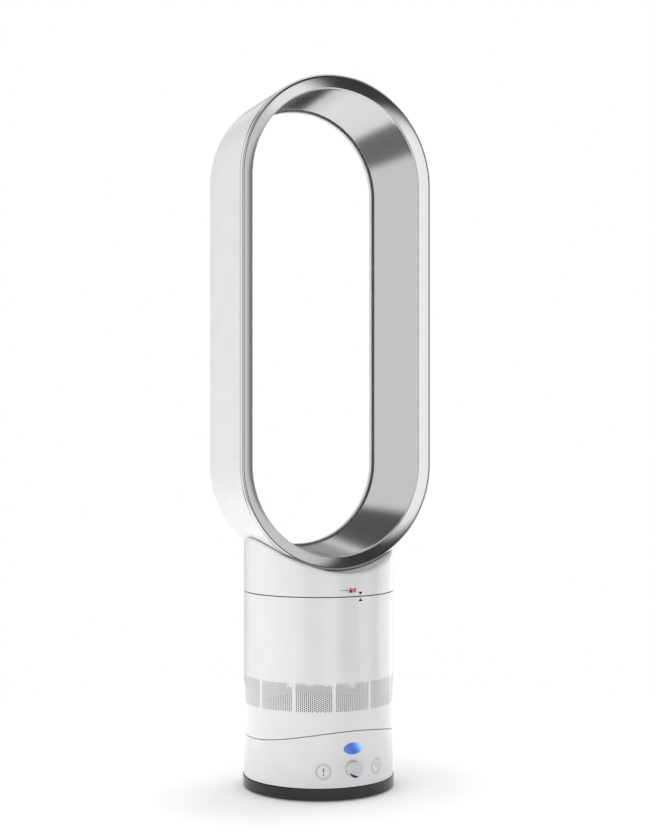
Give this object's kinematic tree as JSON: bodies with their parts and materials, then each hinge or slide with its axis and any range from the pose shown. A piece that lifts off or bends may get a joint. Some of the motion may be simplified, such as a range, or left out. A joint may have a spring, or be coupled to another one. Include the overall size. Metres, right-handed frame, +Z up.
{
  "type": "bladeless tower fan",
  "caption": "Bladeless tower fan: an upright hollow loop on a round tower that rocks and swings on a weighted foot, with a dial and two push buttons.",
  "frame": {"origin": "centre of the round foot, on the floor that its pads stand on", "axes": "+Z up, front (dial, buttons and display) faces -Y, +X to the right seen from the front"},
  "size_m": [0.279, 0.2123, 0.9398],
  "materials": {
    "black_foot": "gloss black ABS",
    "board_green": "glass-fibre circuit board",
    "cast_weight": "rough cast",
    "display_blue": "lit blue window",
    "foam_dark": "open-cell foam",
    "grey_plastic": "moulded, matte",
    "grille_grey": "perforated white plastic",
    "magnet": "nickel-plated magnet",
    "nylon": "moulded nylon",
    "silver_skin": "silver metallic lacquer over plastic",
    "soft_rubber": "matte",
    "steel": "plain machined steel",
    "white_shell": "gloss white ABS"
  },
  "bodies": {
    "foot": {"foot_ring": "black_foot", "rubber_feet": "soft_rubber", "foot_hub": "steel", "foot_screws": "steel", "hub_clip": "steel", "ballast_ring": "cast_weight", "cable_gland": "soft_rubber", "lower_race": "steel", "swing_gear": "nylon"},
    "ball_cage": {"ball_cage": "nylon", "bearing_balls": "steel"},
    "control_base": {"turntable_plate": "grey_plastic", "upper_race": "steel", "swing_motor": "grey_plastic", "motor_screws": "steel", "control_shell": "white_shell", "display_lens": "display_blue", "control_board": "board_green", "display_board": "board_green", "display_connector": "grey_plastic", "dial_encoder": "grey_plastic", "key_pads": "soft_rubber", "tilt_cradle": "grey_plastic", "cradle_screws": "steel"},
    "pinion": {"swing_pinion": "nylon"},
    "power_button": {"power_button": "white_shell"},
    "swing_button": {"swing_button": "white_shell"},
    "dial": {"dial_knob": "white_shell", "dial_insert": "silver_skin"},
    "tower": {"tower_shell": "white_shell", "intake_grille": "grille_grey", "tower_floor": "grey_plastic", "tilt_runners": "nylon", "board_posts": "grey_plastic", "driver_board": "board_green", "runner_screws": "steel", "silencer_foam": "foam_dark", "impeller_shroud": "grey_plastic", "diffuser": "grey_plastic", "motor_bucket": "grey_plastic", "motor_cap": "grey_plastic", "motor_bearings": "steel", "motor_stator": "steel", "stator_clamp": "grey_plastic", "rubber_mounts": "soft_rubber", "lock_ring": "grey_plastic", "neck_seal": "soft_rubber"},
    "rotor": {"impeller": "grey_plastic", "rotor_shaft": "steel", "rotor_magnet": "magnet", "shaft_nut": "steel"},
    "amplifier": {"neck_collar": "white_shell", "bayonet_collar": "grey_plastic", "collar_screws": "steel", "loop_outer_shell": "white_shell", "loop_inner_shell": "silver_skin", "front_rim": "silver_skin", "duct_ribs": "grey_plastic"}
  },
  "joints": [
    {"name": "swing", "type": "hinge", "parent": "foot", "child": "control_base", "pos_m": [0, 0, 0.0191], "axis": [0, 0, 1], "range_deg": [-35, 35]},
    {"name": "cage_roll", "type": "hinge", "parent": "foot", "child": "ball_cage", "pos_m": [0, 0, 0.012], "axis": [0, 0, 1], "range_deg": [-18, 18]},
    {"name": "pinion_spin", "type": "hinge", "parent": "control_base", "child": "pinion", "pos_m": [0, 0.036, 0.01], "axis": [0, 0, 1], "range_deg": [-176, 176]},
    {"name": "tilt", "type": "hinge", "parent": "control_base", "child": "tower", "pos_m": [0, 0, 0.3839], "axis": [1, 0, 0], "range_deg": [-5, 5]},
    {"name": "loop_twist", "type": "hinge", "parent": "tower", "child": "amplifier", "pos_m": [0, 0, 0.2614], "axis": [0, 0, 1], "range_deg": [0, 16]},
    {"name": "impeller_spin", "type": "hinge", "parent": "tower", "child": "rotor", "pos_m": [0, 0, 0.2], "axis": [0, 0, 1], "continuous": true},
    {"name": "dial_turn", "type": "hinge", "parent": "control_base", "child": "dial", "pos_m": [0, -0.108, 0.0405], "axis": [0, -1, 0], "continuous": true},
    {"name": "power_press", "type": "slide", "parent": "control_base", "child": "power_button", "axis": [0.3891, 0.9212, 0], "range_m": [0, 0.0012], "stiffness_N_per_m": 900, "springref_m": -0.001},
    {"name": "swing_press", "type": "slide", "parent": "control_base", "child": "swing_button", "axis": [-0.3762, 0.9265, 0], "range_m": [0, 0.0012], "stiffness_N_per_m": 900, "springref_m": -0.001}
  ],
  "couplings": [
    {"joint": "pinion_spin", "follows": "swing", "ratio": 5},
    {"joint": "cage_roll", "follows": "swing", "ratio": 0.5}
  ]
}
